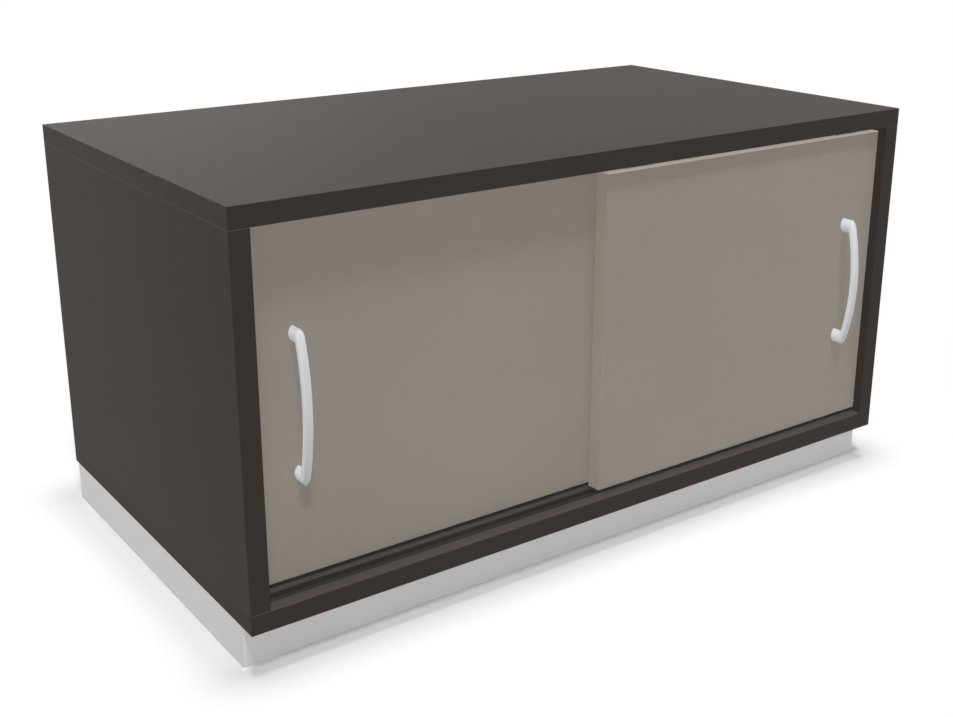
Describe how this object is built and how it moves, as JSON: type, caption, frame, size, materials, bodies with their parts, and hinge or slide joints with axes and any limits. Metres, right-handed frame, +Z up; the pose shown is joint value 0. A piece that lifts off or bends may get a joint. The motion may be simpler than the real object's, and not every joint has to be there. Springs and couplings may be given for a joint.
{
  "type": "sliding door cabinet",
  "caption": "Low dark cabinet on a silver plinth, closed by two overlapping lighter sliding doors on rollers, each with an upright bow handle.",
  "frame": {"origin": "on the floor, under the middle of the whole cabinet's bounding box, which runs from the front handle to the boards' rear edges", "axes": "+X to the right as seen from the front, +Y to the rear, +Z up; the doors face -Y"},
  "size_m": [0.8, 0.4553, 0.416],
  "materials": {
    "carcass_board": "melamine-faced board, fine satin grain",
    "door_board": "melamine-faced board, fine satin grain",
    "back_board": "melamine-faced board, satin",
    "tongue_wood": "plain plywood",
    "track_plastic": "extruded plastic, matte",
    "buffer_rubber": "matte",
    "plinth_steel": "silver powder coat, satin",
    "fitting_steel": "zinc plated",
    "foot_plastic": "moulded plastic, matte",
    "handle_metal": "satin anodised",
    "housing_plastic": "moulded plastic, matte",
    "roller_plastic": "moulded nylon, satin"
  },
  "bodies": {
    "carcass": {"top_panel": "carcass_board", "bottom_panel": "carcass_board", "left_side_panel": "carcass_board", "right_side_panel": "carcass_board", "back_panel": "back_board", "joint_tongues": "tongue_wood", "front_bottom_track": "track_plastic", "rear_bottom_track": "track_plastic", "front_top_track": "track_plastic", "rear_top_track": "track_plastic", "track_stops": "track_plastic", "door_buffers": "buffer_rubber", "plinth_frame": "plinth_steel", "foot_brackets": "fitting_steel"},
    "front_door": {"front_door_panel": "door_board", "front_door_handle": "handle_metal", "front_door_handle_screws": "fitting_steel", "front_door_roller_housings": "housing_plastic", "front_door_roller_axles": "fitting_steel", "front_door_top_guides": "housing_plastic"},
    "rear_door": {"rear_door_panel": "door_board", "rear_door_handle": "handle_metal", "rear_door_handle_screws": "fitting_steel", "rear_door_roller_housings": "housing_plastic", "rear_door_roller_axles": "fitting_steel", "rear_door_top_guides": "housing_plastic"},
    "front_door_left_roller": {"front_door_left_roller": "roller_plastic"},
    "front_door_right_roller": {"front_door_right_roller": "roller_plastic"},
    "rear_door_left_roller": {"rear_door_left_roller": "roller_plastic"},
    "rear_door_right_roller": {"rear_door_right_roller": "roller_plastic"},
    "front_left_foot": {"front_left_foot": "foot_plastic"},
    "front_right_foot": {"front_right_foot": "foot_plastic"},
    "rear_left_foot": {"rear_left_foot": "foot_plastic"},
    "rear_right_foot": {"rear_right_foot": "foot_plastic"}
  },
  "joints": [
    {"name": "front_door_slide", "type": "slide", "parent": "carcass", "child": "front_door", "axis": [1, 0, 0], "range_m": [-0.31, 0]},
    {"name": "rear_door_slide", "type": "slide", "parent": "carcass", "child": "rear_door", "axis": [1, 0, 0], "range_m": [0, 0.31]},
    {"name": "front_door_left_roller_spin", "type": "hinge", "parent": "front_door", "child": "front_door_left_roller", "pos_m": [0.035, -0.19255, 0.0688], "axis": [0, 1, 0], "continuous": true},
    {"name": "front_door_right_roller_spin", "type": "hinge", "parent": "front_door", "child": "front_door_right_roller", "pos_m": [0.335, -0.19255, 0.0688], "axis": [0, 1, 0], "continuous": true},
    {"name": "rear_door_left_roller_spin", "type": "hinge", "parent": "rear_door", "child": "rear_door_left_roller", "pos_m": [-0.335, -0.17105, 0.0688], "axis": [0, 1, 0], "continuous": true},
    {"name": "rear_door_right_roller_spin", "type": "hinge", "parent": "rear_door", "child": "rear_door_right_roller", "pos_m": [-0.035, -0.17105, 0.0688], "axis": [0, 1, 0], "continuous": true},
    {"name": "front_left_foot_adjust", "type": "slide", "parent": "carcass", "child": "front_left_foot", "axis": [0, 0, -1], "range_m": [0, 0.01]},
    {"name": "front_right_foot_adjust", "type": "slide", "parent": "carcass", "child": "front_right_foot", "axis": [0, 0, -1], "range_m": [0, 0.01]},
    {"name": "rear_left_foot_adjust", "type": "slide", "parent": "carcass", "child": "rear_left_foot", "axis": [0, 0, -1], "range_m": [0, 0.01]},
    {"name": "rear_right_foot_adjust", "type": "slide", "parent": "carcass", "child": "rear_right_foot", "axis": [0, 0, -1], "range_m": [0, 0.01]}
  ],
  "couplings": [
    {"joint": "front_door_left_roller_spin", "follows": "front_door_slide", "rad_per_m": 100},
    {"joint": "front_door_right_roller_spin", "follows": "front_door_slide", "rad_per_m": 100},
    {"joint": "rear_door_left_roller_spin", "follows": "rear_door_slide", "rad_per_m": 100},
    {"joint": "rear_door_right_roller_spin", "follows": "rear_door_slide", "rad_per_m": 100}
  ]
}
